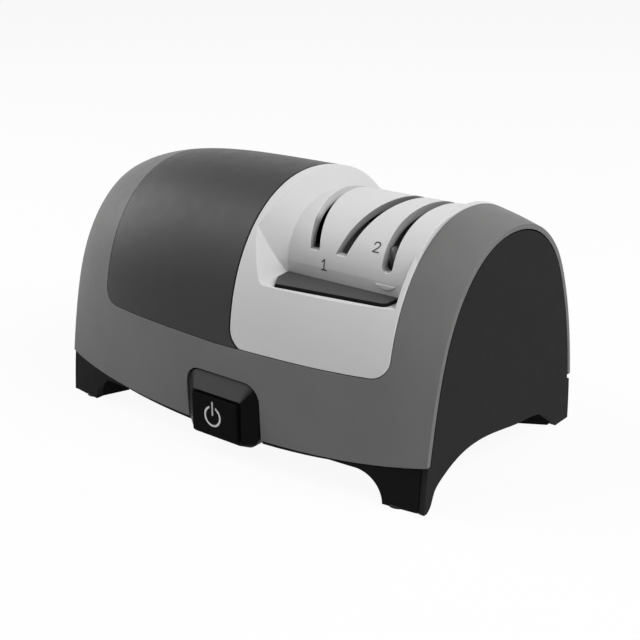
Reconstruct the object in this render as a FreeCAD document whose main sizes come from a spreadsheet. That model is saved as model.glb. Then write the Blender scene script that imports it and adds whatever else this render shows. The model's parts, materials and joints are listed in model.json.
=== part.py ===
# Electric knife sharpener: a moulded tabletop housing over a motor that spins two abrasive
# wheels below a pair of slots, with a third slot that holds fixed stones.
# Axes: X along the length, +Y to the back, +Z up. The origin is on the table under the middle.
import FreeCAD, Part
import Sketcher
import math
import os

Vector = FreeCAD.Vector

# Driving sizes in millimetres and degrees.
SIZES = {
    # Housing
    "body_length": 230.0,
    "body_depth": 148.5,
    "body_height": 131.7,
    "wall": 2.4,
    "seam": 0.5,
    "cover_seam": 1.0,
    "end_curve": 3.5,
    # Opening of the main shell for the two covers
    "left_band": 35.0,
    "right_band": 20.0,
    "opening_corner": 9.0,
    "sill_height": 57.4,
    "rear_sill_height": 67.4,
    "lip_reach": 3.0,
    "lip_wall": 1.5,
    "lip_play": 0.3,
    # Sharpening head
    "head_width": 85.0,
    "head_corner": 10.0,
    "drum_inset": 14.0,
    "drum_drop": 8.3,
    "drum_half_depth": 44.0,
    "drum_centre": 0.9,
    "ledge_drop": 34.4,
    "shoulder_flare": 1.15,
    "shoulder_slope": 0.52,
    "ledge_fillet": 4.0,
    "end_web": 2.2,
    "ridge_width": 10.4,
    "ridge_height": 5.6,
    "ridge_sag": 2.2,
    "ridge_proud": 0.8,
    # Slots
    "slot_drop": 20.4,
    "coarse_left_width": 5.5,
    "coarse_right_width": 5.9,
    "stone_slot_width": 6.0,
    "stone_slot_drop": 23.4,
    "slot_offset_left": 29.4,
    "slot_offset_right": 43.9,
    "slot_offset_stone": 69.7,
    "slot_lean_left": -0.155,
    "slot_lean_right": 0.335,
    "slot_yaw_left": -0.175,
    "slot_yaw_right": 0.05,
    "collar_wall": 1.6,
    "collar_depth": 4.2,
    # Filings magnet on the ledge
    "magnet_length": 63.0,
    "magnet_width": 18.0,
    "magnet_height": 3.0,
    "magnet_sink": 1.4,
    "magnet_skew": 7.6,
    "magnet_gap": 0.6,
    "magnet_clearance": 0.3,
    # Base
    "base_inset": 1.0,
    "front_edge": 12.3,
    "edge_rise": 11.1,
    "rear_edge": 25.0,
    "base_gap": 0.5,
    "rear_gap": 2.6,
    "foot_width": 20.6,
    "arch_reach": 15.4,
    "arch_height": 14.3,
    "rim_height": 10.1,
    "side_arch_height": 19.2,
    "end_floor": 20.4,
    "upstand": 24.0,
    "shell_clearance": 0.4,
    "foot_lift": 0.3,
    "pad_radius": 5.0,
    "pad_seat": 1.0,
    "rest_pad": 23.2,
    # End panels
    "panel_inset": 3.1,
    "panel_thickness": 3.0,
    "panel_flange": 8.0,
    # Power button
    "button_offset": 6.8,
    "button_height": 20.35,
    "key_width": 29.0,
    "key_height": 20.0,
    "key_travel": 2.5,
    "key_clearance": 0.35,
    "key_depth": 7.0,
    "bezel_width": 45.5,
    "bezel_top": 39.8,
    "bezel_bottom": 7.0,
    "bezel_corner": 8.0,
    "bezel_front": 72.4,
    "bezel_back": 61.0,
    "bezel_web": 1.5,
    "stem_radius": 4.0,
    "plunger_radius": 2.5,
    # Drive line
    "wheel_clearance": 1.7,
    "well_clearance": 0.5,
    "wheel_radius": 27.0,
    "wheel_reach": 8.0,
    "wheel_travel": 1.2,
    "wheel_bite": 0.3,
    "shaft_radius": 4.0,
    "hub_radius": 8.0,
    "running_clearance": 0.05,
    "bearing_radius": 9.0,
    "bearing_width": 7.0,
    "motor_radius": 26.0,
    "motor_length": 58.0,
    "motor_setback": 24.0,
    "motor_shaft_radius": 2.5,
    "fan_radius": 20.0,
    "can_wall": 1.5,
    # Screws and posts
    "post_radius": 4.0,
    "post_depth": 38.0,
    "screw_radius": 1.7,
    "screw_head_radius": 3.4,
    "screw_length": 18.0,
    # Cord entry
    "gland_radius": 5.0,
    "gland_height": 36.0,
    "gland_offset": 30.0,
}

# Outline of the housing across its length, from the front foot over the top to the rear foot.
# Each row is the end section's point and the middle section's point, as shares of the whole
# depth and height, because the middle bulges past the ends.
PROFILE = [
    (-0.414, 0.000, -0.451, 0.000),
    (-0.402, 0.140, -0.455, 0.121),
    (-0.384, 0.279, -0.461, 0.271),
    (-0.363, 0.402, -0.465, 0.418),
    (-0.333, 0.529, -0.451, 0.582),
    (-0.286, 0.651, -0.401, 0.746),
    (-0.213, 0.762, -0.306, 0.888),
    (-0.114, 0.845, -0.171, 0.977),
    (0.005, 0.884, -0.018, 1.000),
    (0.127, 0.877, 0.130, 0.970),
    (0.237, 0.828, 0.255, 0.899),
    (0.330, 0.735, 0.352, 0.799),
    (0.390, 0.617, 0.420, 0.665),
    (0.445, 0.440, 0.468, 0.450),
    (0.482, 0.235, 0.489, 0.235),
    (0.500, 0.000, 0.500, 0.000),
]

# Outline of the drum that carries the slots, as shares of its half depth and of its height
# above the ledge.
DRUM = [
    (-1.000, 0.20),
    (-0.975, 0.38),
    (-0.895, 0.61),
    (-0.730, 0.815),
    (-0.500, 0.945),
    (-0.180, 1.000),
    (0.160, 0.962),
    (0.455, 0.835),
    (0.705, 0.640),
    (0.890, 0.410),
    (0.975, 0.200),
]

doc = FreeCAD.newDocument("KnifeSharpener")
sheet = doc.addObject("Spreadsheet::Sheet", "Sizes")
for row, (alias, number) in enumerate(SIZES.items(), start=1):
    sheet.set("A%d" % row, alias)
    sheet.set("B%d" % row, str(number))
    sheet.setAlias("B%d" % row, alias)
doc.recompute()


class Size(float):
    """A number that remembers how it is worked out from the sheet."""

    def __new__(cls, number, text=None):
        size = super().__new__(cls, number)
        size.text = text or "%.9f" % number
        return size

    def joined(self, sign, other, result):
        other = other if isinstance(other, Size) else Size(other)
        return Size(result, "(%s %s %s)" % (self.text, sign, other.text))

    def __add__(self, other):
        return self.joined("+", other, float(self) + float(other))

    def __sub__(self, other):
        return self.joined("-", other, float(self) - float(other))

    def __mul__(self, other):
        return self.joined("*", other, float(self) * float(other))

    def __truediv__(self, other):
        return self.joined("/", other, float(self) / float(other))

    def __neg__(self):
        return Size(0.0).joined("-", self, -float(self))

    def __radd__(self, other):
        return Size(other) + self

    def __rsub__(self, other):
        return Size(other) - self

    def __rmul__(self, other):
        return Size(other) * self


class Sheet:
    """Reads each size of the sheet by its alias."""

    def __getattr__(self, alias):
        return Size(sheet.get(alias), "Sizes." + alias)


size = Sheet()
half_length = size.body_length / 2
head_left = half_length - size.right_band - size.head_width
head_right = half_length - size.right_band
cover_left = size.left_band - half_length
crest = size.body_height - size.drum_drop
ledge = crest - size.ledge_drop
slot_floor = crest - size.slot_drop
axis_height = slot_floor + size.wheel_reach - size.wheel_radius
button_centre = head_left - size.button_offset
axis_y = (size.drum_centre - size.drum_half_depth + size.wall + size.wheel_clearance
          + size.wheel_radius)
gland_x = -(half_length - size.gland_offset)
post_foot = float(size.end_floor + size.wall)
seat_depth = size.wall + size.lip_play
FAR = 200.0
subparts = []


def finished(feature, name):
    """Registers a sub-part under the name of its node."""
    feature.Label = name
    subparts.append(feature)
    return feature


class Piece:
    """A sub-part built from sketches on its own origin planes."""

    def __init__(self, name, at=(0.0, 0.0, 0.0), turn=FreeCAD.Rotation()):
        self.body = finished(doc.addObject("PartDesign::Body", name), name)
        self.body.Placement.Rotation = turn
        for letter, place in zip("xyz", at):
            place = place if isinstance(place, Size) else Size(place)
            self.body.setExpression(".Placement.Base." + letter, place.text)

    def sketch(self, role, lift=0.0):
        drawing = self.body.newObject("Sketcher::SketchObject", self.body.Name + "_outline")
        plane = next(f for f in self.body.Origin.OriginFeatures if f.Role == role)
        drawing.AttachmentSupport = [(plane, "")]
        drawing.MapMode = "FlatFace"
        lift = lift if isinstance(lift, Size) else Size(lift)
        drawing.setExpression(".AttachmentOffset.Base.z", lift.text)
        return drawing

    def pin(self, drawing, geometry, vertex, point):
        for kind, number in zip(("DistanceX", "DistanceY"), point):
            number = number if isinstance(number, Size) else Size(number)
            rule = drawing.addConstraint(
                Sketcher.Constraint(kind, -1, 1, geometry, vertex, float(number)))
            drawing.setExpression("Constraints[%d]" % rule, number.text)

    def polygon(self, drawing, points):
        lines = []
        for start, end in zip(points, points[1:] + points[:1]):
            lines.append(drawing.addGeometry(
                Part.LineSegment(Vector(*start, 0), Vector(*end, 0))))
        for line, following in zip(lines, lines[1:] + lines[:1]):
            drawing.addConstraint(Sketcher.Constraint("Coincident", line, 2, following, 1))
        for line, point in zip(lines, points):
            self.pin(drawing, line, 1, point)

    def circle(self, drawing, centre, radius):
        ring = drawing.addGeometry(
            Part.Circle(Vector(*centre, 0), Vector(0, 0, 1), float(radius)))
        self.pin(drawing, ring, 3, centre)
        radius = radius if isinstance(radius, Size) else Size(radius)
        rule = drawing.addConstraint(Sketcher.Constraint("Radius", ring, float(radius)))
        drawing.setExpression("Constraints[%d]" % rule, radius.text)

    def turned(self, outline):
        """Turns an outline of (along, radius) points about the piece's X axis."""
        drawing = self.sketch("XY_Plane")
        self.polygon(drawing, outline)
        feature = self.body.newObject("PartDesign::Revolution", self.body.Name + "_turned")
        feature.Profile = drawing
        feature.ReferenceAxis = (drawing, ["H_Axis"])
        feature.Angle = 360
        return self

    def extruded(self, kind, role, lift, length, outline, holes):
        drawing = self.sketch(role, lift)
        if outline:
            self.polygon(drawing, outline)
        for centre, radius in holes:
            self.circle(drawing, centre, radius)
        feature = self.body.newObject(kind, self.body.Name + "_extruded")
        feature.Profile = drawing
        feature.Reversed = kind == "PartDesign::Pocket"
        length = length if isinstance(length, Size) else Size(length)
        feature.setExpression("Length", length.text)
        return feature

    def pad(self, role, lift, length, outline=(), holes=()):
        self.extruded("PartDesign::Pad", role, lift, length, list(outline), holes)
        return self

    def pocket(self, role, lift, length, outline=(), holes=()):
        self.extruded("PartDesign::Pocket", role, lift, length, list(outline), holes)
        return self


def moulded(name, shape):
    """A sub-part whose form no sketch feature fits."""
    feature = doc.addObject("Part::Feature", name)
    feature.Shape = shape.removeSplitter()
    return finished(feature, name)


# Housing form

def bulge(x):
    """How far the section at x has grown from the end section to the middle one."""
    return 1 - abs(x / half_length) ** size.end_curve


def section_points(x):
    points = []
    for end_y, end_z, mid_y, mid_z in PROFILE:
        grown = bulge(x)
        y = (end_y + (mid_y - end_y) * grown) * size.body_depth
        z = (end_z + (mid_z - end_z) * grown) * size.body_height
        points.append(Vector(float(x), float(y), float(z)))
    return points


def running_shares(points):
    """Length of the way to each point, as a share of the whole way."""
    lengths = [0.0]
    for start, end in zip(points, points[1:]):
        lengths.append(lengths[-1] + (end - start).Length)
    return [length / lengths[-1] for length in lengths]


def smooth(points, places):
    """Curve through the points, which it passes at the given places from 0 to 1."""
    curve = Part.BSplineCurve()
    curve.interpolate(Points=points, Parameters=places)
    return curve


def moved_inwards(points, places, depth):
    """The points set in by depth, square to the smooth curve through them."""
    curve = smooth(points, places)
    moved = []
    for point, place in zip(points, places):
        along = curve.tangent(place)[0]
        moved.append(point + Vector(0, along.z, -along.y) * float(depth))
    return moved


def section(x, depth):
    """Closed outline of the housing at x, set in by depth all round, open below the table."""
    places = running_shares(section_points(0.0))
    moved = moved_inwards(section_points(x), places, depth)
    below = 2.0 if depth > 0 else 0.0
    moved[0].z = -below
    moved[-1].z = -below
    closing = Part.LineSegment(moved[-1], moved[0])
    return Part.Wire([smooth(moved, places).toShape(), closing.toShape()])


def barrel(depth, overhang=0.0):
    """The whole housing as one solid, set in by depth."""
    stations = (-1, -0.93, -0.8, -0.55, 0, 0.55, 0.8, 0.93, 1)
    reach = half_length + overhang
    return Part.makeLoft([section(float(reach) * share, depth) for share in stations], True)


def prism(points, direction, corner=0.0, corners=()):
    """A polygon of points swept along direction, with the listed corners rounded."""
    wire = Part.makePolygon(points + points[:1])
    if corner:
        solid = Part.Face(wire).extrude(direction)
        along = Vector(direction).normalize()
        edges = []
        for edge in solid.Edges:
            middle = edge.CenterOfMass
            if abs(edge.tangentAt(edge.FirstParameter).dot(along)) < 0.999:
                continue
            for index in corners:
                offset = middle - points[index]
                if (offset - along * offset.dot(along)).Length < 0.01:
                    edges.append(edge)
        return solid.makeFillet(float(corner), edges)
    return Part.Face(wire).extrude(direction)


def box(low, high):
    spread = Vector(*high) - Vector(*low)
    return Part.makeBox(spread.x, spread.y, spread.z, Vector(*low))


def opening(grow):
    """Space of the shell's opening, grown by grow on every side, over the top and down
    to a sill at the front and at the back."""
    left = cover_left - grow
    right = head_right + grow
    radius = size.opening_corner + grow
    solids = []
    for height, start, reach in ((size.sill_height, -FAR, FAR + 5),
                                 (size.rear_sill_height, 5, FAR)):
        sill = height - grow
        outline = [
            Vector(left, start, FAR),
            Vector(left, start, sill + 1.5),
            Vector(0, start, sill - 1.2),
            Vector(right, start, sill + 1.0),
            Vector(right, start, FAR),
        ]
        solids.append(prism(outline, Vector(0, reach, 0), radius, (1, 3)))
    return solids[0].fuse(solids[1])


def head_space(grow):
    """Space of the sharpening head within the opening, with a rounded lower left corner."""
    left = head_left - grow
    solids = []
    for height, start, reach in ((size.sill_height, -FAR, FAR + 5),
                                 (size.rear_sill_height, 5, FAR)):
        sill = height - 1.2 - grow
        outline = [
            Vector(left, start, FAR),
            Vector(left, start, sill),
            Vector(FAR, start, sill),
            Vector(FAR, start, FAR),
        ]
        solids.append(prism(outline, Vector(0, reach, 0), size.head_corner + grow, (1,)))
    return solids[0].fuse(solids[1])


outer = barrel(0.0)
inner = barrel(size.wall, 2.0)
skin = outer.cut(inner)
seat_layer = barrel(seat_depth, 2.0).cut(barrel(seat_depth + size.lip_wall, 2.0))


def below_edge(front_gap, rear_gap):
    """Everything below the shell's lower edge, which dips towards the middle of the front."""
    middle = size.front_edge - front_gap
    ends = middle + size.edge_rise
    reach = half_length + 5
    curve = Part.Arc(Vector(-reach, -FAR, ends), Vector(0, -FAR, middle),
                     Vector(reach, -FAR, ends))
    closing = Part.makePolygon([Vector(reach, -FAR, ends), Vector(reach, -FAR, -FAR),
                                Vector(-reach, -FAR, -FAR), Vector(-reach, -FAR, ends)])
    front = Part.Face(Part.Wire([curve.toShape()] + closing.Edges)).extrude(Vector(0, FAR, 0))
    rear = box((-reach, 0, -FAR), (reach, FAR, size.rear_edge - rear_gap))
    return front.fuse(rear)


def rounded_plan(width, low, high, corner, y):
    """Rounded rectangle standing at depth y, centred on the button."""
    left = float(button_centre - width / 2)
    right = float(button_centre + width / 2)
    plate = Part.Face(Part.makePolygon([
        Vector(left, y, low), Vector(right, y, low), Vector(right, y, high),
        Vector(left, y, high), Vector(left, y, low)]))
    solid = plate.extrude(Vector(0, 1, 0))
    edges = [e for e in solid.Edges if abs(e.tangentAt(e.FirstParameter).y) > 0.99]
    solid = solid.makeFillet(float(corner), edges)
    return next(f for f in solid.Faces if abs(f.CenterOfMass.y - y) < 1e-6).OuterWire


def tall_prism(wire, reach):
    return Part.Face(wire).extrude(Vector(0, reach, 0))


def post_places():
    left = cover_left - 12
    right = head_right + 5
    return [Vector(x, y, 0) for x in (left, right)
            for y in (-size.post_depth, float(size.post_depth))]


# Main shell: one wrap with the opening for both covers, the button's cut-out and screw posts.
def main_shell():
    shell = skin.cut(opening(0.0)).cut(below_edge(0.0, 0.0))
    border = opening(2.0).cut(opening(-size.lip_reach))
    lip = seat_layer.common(border)
    joint = barrel(1.0, 2.0).cut(barrel(seat_depth + size.lip_wall, 2.0))
    lip = lip.fuse(joint.common(opening(2.0).cut(opening(0.0))))
    inside = half_length - size.panel_flange - 4
    lip = lip.common(box((-inside, -FAR, 30), (inside, FAR, FAR)))
    lip = lip.cut(box((head_left, -FAR, ledge - size.wall - 0.6), (head_right, FAR, FAR)))
    shell = shell.fuse(lip)
    for place in post_places():
        post = Part.makeCylinder(float(size.post_radius), FAR, place + Vector(0, 0, post_foot))
        shell = shell.fuse(post.common(barrel(1.0)))
    notch = rounded_plan(size.bezel_width + 1.6, -20, size.bezel_top + 0.8,
                         size.bezel_corner + 0.8, -FAR)
    shell = shell.cut(tall_prism(notch, FAR))
    for place in post_places():
        hole = Part.makeCylinder(float(size.screw_radius), float(size.screw_length),
                                 place + Vector(0, 0, post_foot - 1))
        shell = shell.cut(hole)
    gland_hole = Part.makeCylinder(float(size.gland_radius + size.running_clearance), FAR,
                                   Vector(gland_x, 0, size.gland_height), Vector(0, 1, 0))
    return shell.cut(gland_hole)


moulded("main_shell", main_shell())


def ring_solid(x, length, inside, outside, turn=360.0, start=0.0):
    """Part of a ring round the wheels' axis."""
    place = Vector(x, axis_y, axis_height)
    along = Vector(1, 0, 0)
    solid = Part.makeCylinder(float(outside), float(length), place, along, turn)
    if inside:
        solid = solid.cut(Part.makeCylinder(float(inside), float(length), place, along, 360))
    solid.rotate(place, along, start)
    return solid


# Places of the wheels and of the stones below the slots.
disc_thickness = 2.4
hub_boss = 0.5
left_face = head_left + 26.7 - size.wheel_bite
right_face = head_left + 42.5 + size.wheel_bite
drop_in = size.wheel_radius - size.wheel_reach - size.hub_radius
left_hub = left_face - size.slot_lean_left * drop_in
right_hub = right_face - size.slot_lean_right * drop_in
rim_rise = size.wheel_radius - size.hub_radius
stone_x = head_left + size.slot_offset_stone
stone_top = crest - size.stone_slot_drop + 7.0
stone_front = size.drum_centre - size.drum_half_depth + size.wall + 5.5


# Sharpening head: a shell whose front and top are cut back to a ledge and a slotted drum.
def drum_wire(depth, x):
    """Outline of the drum at x, set in by depth, carried down below the ledge."""
    half = size.drum_half_depth - depth
    top = size.ledge_drop - depth
    base = ledge - 2 * size.ledge_drop
    shares = running_shares([Vector(0, y, z) for y, z in DRUM])
    points = [Vector(x, size.drum_centre + y * half, ledge + z * top) for y, z in DRUM]
    low = [Vector(x, points[-1].y, base), Vector(x, points[0].y, base)]
    sides = Part.makePolygon([points[-1]] + low + [points[0]])
    return Part.Wire([smooth(points, shares).toShape()] + sides.Edges)


def drum(depth, left, right):
    """The drum as a solid between two places along X, set in by depth."""
    return Part.Face(drum_wire(depth, left)).extrude(Vector(right - left, 0, 0))


def recess(grow):
    """Space taken out of the head around the drum, grown towards the skin by grow. Its left
    wall leans away from a round at the ledge and meets the drum's flared end."""
    left = head_left + size.drum_inset
    right = head_right - size.end_web - size.seam + grow
    floor = ledge - grow
    space = box((head_left - 20, -FAR, floor), (right, FAR, FAR))
    reach = 30.0
    flared = Part.makeLoft([drum_wire(grow, left),
                            drum_wire(grow - reach, left - reach * size.shoulder_flare)],
                           True, True)
    start = left - grow
    rise = 60.0
    wall = prism([
        Vector(start, -FAR, floor),
        Vector(start - rise * size.shoulder_slope, -FAR, floor + rise),
        Vector(left - FAR, -FAR, floor + rise),
        Vector(left - FAR, -FAR, floor - rise),
        Vector(left + FAR, -FAR, floor - rise),
        Vector(left + FAR, -FAR, floor)], Vector(0, 2 * FAR, 0), size.ledge_fillet, (0,))
    return space.cut(wall).cut(flared)


def slot_cutter(offset, width, lean, yaw, floor, grow=0.0):
    """A leaning, slightly turned slot that runs over the drum from front to back."""
    centre = head_left + offset
    front = float(size.drum_centre - size.drum_half_depth)
    lead = 30.0
    rise = 60.0
    half = width / 2 + grow
    low = floor - grow
    outline = [
        Vector(centre - half - yaw * lead - lean * grow, front - lead, low),
        Vector(centre + half - yaw * lead - lean * grow, front - lead, low),
        Vector(centre + half - yaw * lead + lean * rise, front - lead, low + grow + rise),
        Vector(centre - half - yaw * lead + lean * rise, front - lead, low + grow + rise),
    ]
    reach = 2 * (float(size.drum_half_depth) + lead)
    return prism(outline, Vector(yaw * reach, reach, 0))


def slots(grow=0.0):
    left = slot_cutter(size.slot_offset_left, size.coarse_left_width, size.slot_lean_left,
                       size.slot_yaw_left, slot_floor, grow)
    right = slot_cutter(size.slot_offset_right, size.coarse_right_width, size.slot_lean_right,
                        size.slot_yaw_right, slot_floor, grow)
    stone_floor = crest - size.stone_slot_drop + size.stone_slot_width / 2
    stone = slot_cutter(size.slot_offset_stone, size.stone_slot_width, 0.0, 0.0,
                        stone_floor, grow)
    round_end = Part.makeCylinder(float(size.stone_slot_width / 2 + grow), 2 * FAR,
                                  Vector(head_left + size.slot_offset_stone, -FAR, stone_floor),
                                  Vector(0, 1, 0))
    return [left, right, stone, round_end]


def wheel_wells():
    """Room of both wheels below the drum, with their sideways travel."""
    play = size.wheel_travel + size.well_clearance
    wells = []
    for hub, lean, side in ((left_hub, size.slot_lean_left, 1),
                            (right_hub, size.slot_lean_right, -1)):
        ends = [hub, hub + lean * rim_rise, hub + side * (disc_thickness + hub_boss),
                hub + lean * rim_rise + side * disc_thickness]
        wells.append(ring_solid(min(ends) - play, max(ends) - min(ends) + play * 2, 0.0,
                                size.wheel_radius + size.wheel_clearance))
    return wells


def collars():
    """Walls that hang from the drum round each slot and leave room for wheels and stones."""
    left = head_left + size.drum_inset
    right = head_right - size.seam - size.end_web
    layer = drum(size.wall / 2, left, right).cut(drum(size.collar_depth, left - 1, right + 1))
    stone_room = box((stone_x - 8.0, stone_front - 0.5, 0), (stone_x + 8.0, stone_front + 12.0,
                                                           stone_top + 2.4))
    walls = []
    for cutter in slots(size.collar_wall):
        wall = layer.common(cutter).cut(stone_room)
        for space in slots() + wheel_wells():
            wall = wall.cut(space)
        walls.append(wall)
    return walls


def ridge():
    """Small raised lens on the drum's front, below the stone slot."""
    front = size.drum_centre - size.drum_half_depth
    middle = head_left + size.slot_offset_stone
    height = ledge + size.ridge_height
    half = size.ridge_width / 2
    start, end = Vector(middle - half, front + 2.0, height), Vector(middle + half, front + 2.0,
                                                                   height)
    lower = Part.Arc(start, Vector(middle, front + 2.0, height - size.ridge_sag), end)
    outline = Part.Wire([lower.toShape(), Part.makeLine(end, start)])
    return Part.Face(outline).extrude(Vector(0, -2.0 - size.ridge_proud, 0))


def head():
    space = head_space(0.0).common(opening(-size.seam))
    left = head_left + size.drum_inset
    right = head_right - size.seam - size.end_web
    whole = outer.cut(recess(0.0)).fuse(drum(0.0, left, head_right)).common(space)
    hollow = inner.cut(recess(size.wall)).fuse(drum(size.wall, left - size.wall, right))
    shell = whole.cut(hollow).fuse(ridge())
    for cutter in slots():
        shell = shell.cut(cutter)
    for wall in collars():
        shell = shell.fuse(wall)
    return shell.cut(magnet_form(size.magnet_clearance, ledge - size.magnet_sink - 0.2, 20.0))


def magnet_form(grow, low, height):
    """Bar on the ledge: a slanted left end and a rounded front right corner."""
    x = head_left + 14.6
    y = size.drum_centre - size.drum_half_depth - size.magnet_gap
    outline = [
        Vector(x - grow, y + grow, low),
        Vector(x - grow + 1.7, y - 9.5, low),
        Vector(x + 7.6 - grow, y - size.magnet_width - 2 * grow, low),
        Vector(x + size.magnet_length + grow, y - size.magnet_width + size.magnet_skew - grow, low),
        Vector(x + size.magnet_length + grow, y + grow, low),
    ]
    return prism(outline, Vector(0, 0, height), 3.0 + grow, (3,))


# Motor cover: the dark panel left of the head, with a lip that runs under the head's edge.
def motor_cover():
    space = opening(-size.seam).cut(head_space(size.cover_seam))
    cover = skin.common(space)
    strip = head_space(2.0).cut(head_space(-size.lip_reach))
    lip = seat_layer.common(strip).common(opening(-size.lip_reach - 0.6))
    joint = barrel(1.0, 2.0).cut(barrel(seat_depth + size.lip_wall, 2.0))
    bridge = head_space(2.5).cut(head_space(size.cover_seam))
    lip = lip.fuse(joint.common(bridge).common(opening(-size.lip_reach - 0.6)))
    return cover.fuse(lip.cut(recess(size.wall + size.lip_play)))


moulded("motor_cover", motor_cover())
moulded("sharpening_head", head())
moulded("filings_magnet", magnet_form(0.0, ledge - size.magnet_sink, size.magnet_height))


# Base: a shallow tray on four corner feet, arched between them on every side.
def arch_face(lift, x_in):
    """Outline of the front arch seen along Y, moved up by lift; its legs stand at x_in."""
    leg = float(x_in)
    knee = leg - size.arch_reach
    top = size.arch_height + lift
    low = -5.0
    left = Part.Arc(Vector(-leg, 0, 0), Vector(-leg + size.arch_reach * 0.29, 0, top * 0.71),
                    Vector(-knee, 0, top))
    right = Part.Arc(Vector(knee, 0, top), Vector(leg - size.arch_reach * 0.29, 0, top * 0.71),
                     Vector(leg, 0, 0))
    rim = Part.Arc(Vector(-rim_reach, 0, top), Vector(0, 0, size.rim_height + lift),
                   Vector(rim_reach, 0, top))
    flats = [Part.LineSegment(Vector(-knee, 0, top), Vector(-rim_reach, 0, top)),
             Part.LineSegment(Vector(rim_reach, 0, top), Vector(knee, 0, top))]
    legs = Part.makePolygon([Vector(leg, 0, 0), Vector(leg, 0, low), Vector(-leg, 0, low),
                             Vector(-leg, 0, 0)])
    edges = [left.toShape(), flats[0].toShape(), rim.toShape(), flats[1].toShape(),
             right.toShape()]
    return Part.Face(Part.Wire(edges + legs.Edges))


def swept(face, low, high):
    moved = face.translated(Vector(0, float(low), 0))
    return moved.extrude(Vector(0, float(high - low), 0))


def side_arch():
    """Space under the end panels, seen along X: a shallow arch between front and rear feet."""
    share = size.body_depth
    points = [(-0.398, -5.0), (-0.392, 0.0), (-0.369, 3.5), (-0.353, 8.7), (-0.317, 12.8),
              (-0.217, 0.97 * size.side_arch_height), (-0.030, size.side_arch_height),
              (0.148, 0.80 * size.side_arch_height), (0.320, 9.8), (0.350, 6.4),
              (0.384, 2.9), (0.404, 0.0), (0.404, -5.0)]
    points = [Vector(-FAR, y * share, z) for y, z in points]
    curve = Part.BSplineCurve()
    curve.interpolate(points[1:-1])
    ends = Part.makePolygon([points[-2], points[-1], points[0], points[1]])
    return Part.Face(Part.Wire([curve.toShape()] + ends.Edges)).extrude(Vector(2 * FAR, 0, 0))


def foot_plan(side_x, side_y, shrink=0.0):
    """Corner foot seen from above: long on its inner side and short at the end panel."""
    end = half_length - size.panel_thickness - 0.2 - shrink
    inner_x = half_length - size.foot_width + shrink
    deep = size.body_depth / 2
    points = [(end, deep + 5), (end, deep - 17.0 + shrink), (inner_x - 5.0 + shrink, deep - 30.0),
              (inner_x, deep - 16.0), (inner_x, deep + 5)]
    points = [Vector(side_x * x, side_y * y, size.foot_lift) for x, y in points]
    return Part.Face(Part.makePolygon(points + points[:1]))


rim_reach = 66.0
base_end = half_length - size.panel_thickness - 0.2
inner_leg = half_length - size.foot_width
feet = [(x, y) for x in (-1, 1) for y in (-1, 1)]


def pad_places():
    """Middle of the rubber pad below each foot."""
    x = half_length - 15.0
    return [Vector(x * side, y, 0) for side in (-1, 1)
            for y in (-(size.body_depth / 2 - 16.2), size.body_depth / 2 - 12.2)]


def base():
    form = barrel(size.base_inset).common(below_edge(size.base_gap, size.rear_gap))
    tuck = size.wall + size.shell_clearance
    upstand = barrel(tuck).common(box((-FAR, -FAR, 0), (FAR, FAR, size.upstand)))
    form = form.fuse(upstand).common(box((-base_end, -FAR, size.foot_lift), (base_end, FAR, FAR)))
    room = barrel(tuck + 2.0, 2.0)
    middle = half_length - size.foot_width - size.arch_reach
    above = box((-middle + size.wall, -FAR, -5), (middle - size.wall, FAR, FAR)).cut(
        swept(arch_face(size.wall, inner_leg + 40), -FAR, FAR))
    above = above.fuse(box((-FAR, -FAR, size.end_floor + size.wall), (FAR, FAR, FAR)))
    under = swept(arch_face(0.0, inner_leg), -FAR, FAR)
    for side in (-1, 1):
        low, high = sorted((side * middle, side * FAR))
        under = under.fuse(box((low, -FAR, -5), (high, FAR, size.end_floor)).common(room))
    tray = form.cut(room.common(above))
    for low, high in supports():
        tray = tray.fuse(box((low[0], low[1], 5.0), high))
    for place in standoff_places():
        tray = tray.fuse(Part.makeCylinder(3.0, board_height - 5.0, place + Vector(0, 0, 5.0)))
    tray = tray.cut(under)
    for side_x, side_y in feet:
        block = foot_plan(side_x, side_y).extrude(Vector(0, 0, float(size.end_floor)))
        well = foot_plan(side_x, side_y, size.wall).extrude(Vector(0, 0, FAR))
        well = well.common(barrel(size.base_inset + size.wall))
        well.translate(Vector(0, 0, 4.0))
        tray = tray.fuse(block.common(form)).cut(well)
    for place in pad_places():
        seat = Vector(place.x, place.y, size.foot_lift)
        tray = tray.cut(Part.makeCylinder(float(size.pad_radius + 0.1), float(size.pad_seat), seat))
    for place in post_places():
        tray = tray.cut(Part.makeCylinder(float(size.screw_radius + 0.3), 60.0, place))
    cut = box((button_centre - size.bezel_width / 2 - 0.8, -FAR, 0),
              (button_centre + size.bezel_width / 2 + 0.8, -size.bezel_back + 0.4, FAR))
    behind = box((button_centre - size.bezel_width / 2 - 4.5, -FAR, 13.5),
                 (button_centre + size.bezel_width / 2 + 4.5, -size.bezel_back + 0.4, FAR))
    switch_room = box((button_centre - 9.2, switch_front - 0.2, size.button_height - 7.0),
                      (button_centre + 9.2, switch_back + 0.2, FAR))
    return tray.cut(cut).cut(behind).cut(switch_room)


motor_right = head_left - size.motor_setback
motor_left = motor_right - size.motor_length
frame_left = head_left + 8.0
frame_right = head_left + 79.0
cradle_left = motor_left + 5.0
cradle_right = motor_right - 7.0
board_height = 24.0
board_left = button_centre + 3.0
board_right = board_left + 62.0
board_front = 24.0
board_back = 56.0
switch_back = -38.0
switch_front = -53.0


def supports():
    """Flat-topped ribs that carry the motor cradle, the wheel frame and the switch."""
    front = axis_y - 20.0
    back = axis_y + 20.0
    top = size.rest_pad
    pairs = []
    for left, right in ((cradle_left, cradle_right), (frame_left, frame_right)):
        pairs.append(((left, front, 0), (left + 5, back, top)))
        pairs.append(((right - 5, front, 0), (right, back, top)))
    pairs.append(((button_centre - 10, switch_front + 1, 0),
                  (button_centre + 10, switch_back - 1, size.button_height - 7.0)))
    return pairs


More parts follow.
